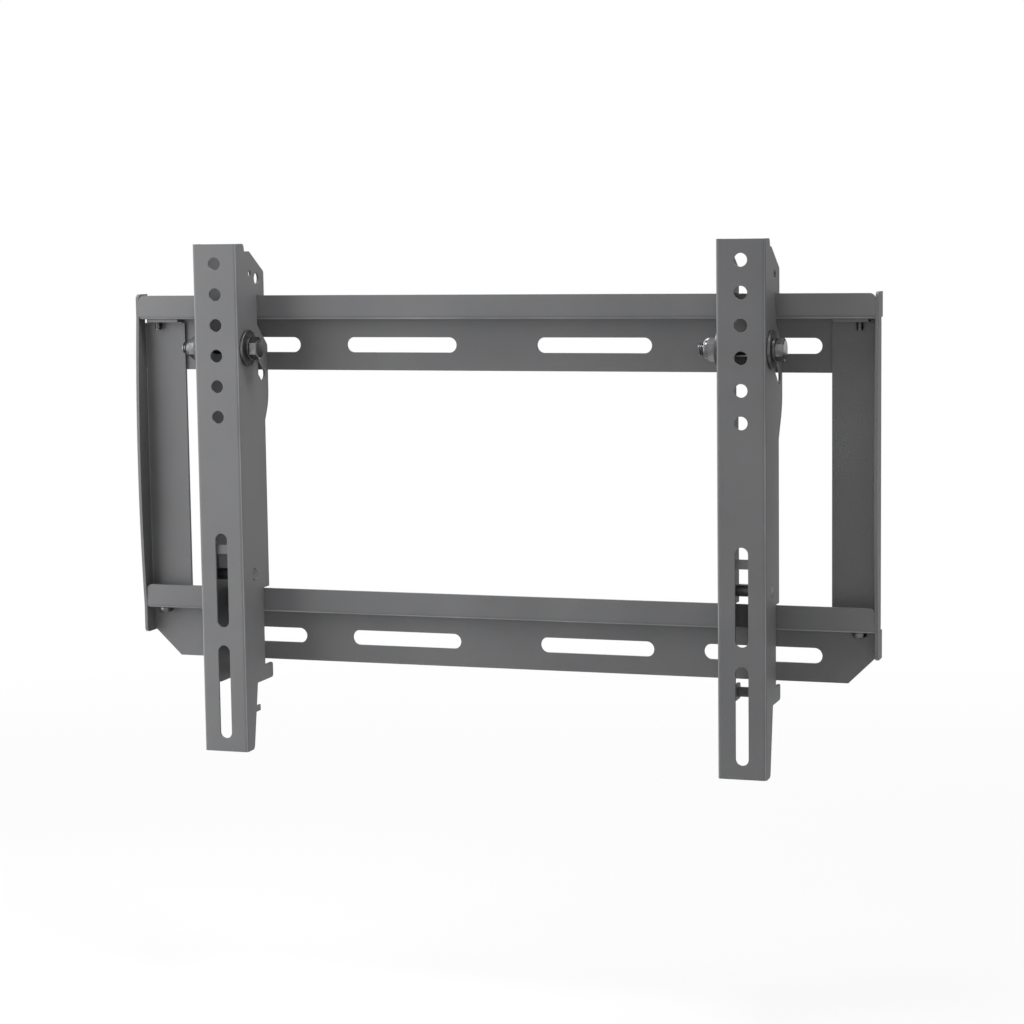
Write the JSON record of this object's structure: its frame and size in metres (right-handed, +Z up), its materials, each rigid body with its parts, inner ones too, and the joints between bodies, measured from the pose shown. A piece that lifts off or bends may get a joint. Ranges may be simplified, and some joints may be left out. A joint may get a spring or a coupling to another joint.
{
  "type": "tilting tv wall bracket",
  "caption": "Wall bracket for a flat screen: slotted folded-steel rails and side plates, with hooked arms that slide along the rails and tip forward on a clamp bolt and guide pin.",
  "frame": {"origin": "middle of the pattern of wall slots, in the plane of the wall", "axes": "+X along the rails to the right as seen from the room, +Y into the wall, +Z up"},
  "size_m": [0.504, 0.0505, 0.3353],
  "materials": {
    "powder_coat": "dark grey powder coat, satin",
    "black_screw": "blackened steel",
    "bright_zinc": "bright zinc plate",
    "dark_zinc": "dark zinc plate",
    "nylon": "natural nylon"
  },
  "bodies": {
    "frame": {"upper_rail": "powder_coat", "lower_rail": "powder_coat", "left_side_plate": "powder_coat", "right_side_plate": "powder_coat", "upper_frame_screws": "black_screw", "lower_frame_screws": "black_screw"},
    "left_bracket": {"left_hook_bracket": "powder_coat", "left_tilt_bolt": "bright_zinc", "left_plain_washers": "dark_zinc", "left_spring_washer": "dark_zinc", "left_lock_nut": "bright_zinc", "left_lock_ring": "nylon"},
    "left_arm": {"left_tv_arm": "powder_coat", "left_guide_pin": "dark_zinc"},
    "right_bracket": {"right_hook_bracket": "powder_coat", "right_tilt_bolt": "bright_zinc", "right_plain_washers": "dark_zinc", "right_spring_washer": "dark_zinc", "right_lock_nut": "bright_zinc", "right_lock_ring": "nylon"},
    "right_arm": {"right_tv_arm": "powder_coat", "right_guide_pin": "dark_zinc"}
  },
  "joints": [
    {"name": "left_slide", "type": "slide", "parent": "frame", "child": "left_bracket", "axis": [1, 0, 0], "range_m": [-0.0231, 0.1269]},
    {"name": "left_tilt", "type": "hinge", "parent": "left_bracket", "child": "left_arm", "pos_m": [-0.1769, -0.128, -0.053], "axis": [1, 0, 0], "range_deg": [0, 10]},
    {"name": "right_slide", "type": "slide", "parent": "frame", "child": "right_bracket", "axis": [1, 0, 0], "range_m": [-0.1236, 0.0264]},
    {"name": "right_tilt", "type": "hinge", "parent": "right_bracket", "child": "right_arm", "pos_m": [0.1736, -0.128, -0.053], "axis": [1, 0, 0], "range_deg": [0, 10]}
  ]
}
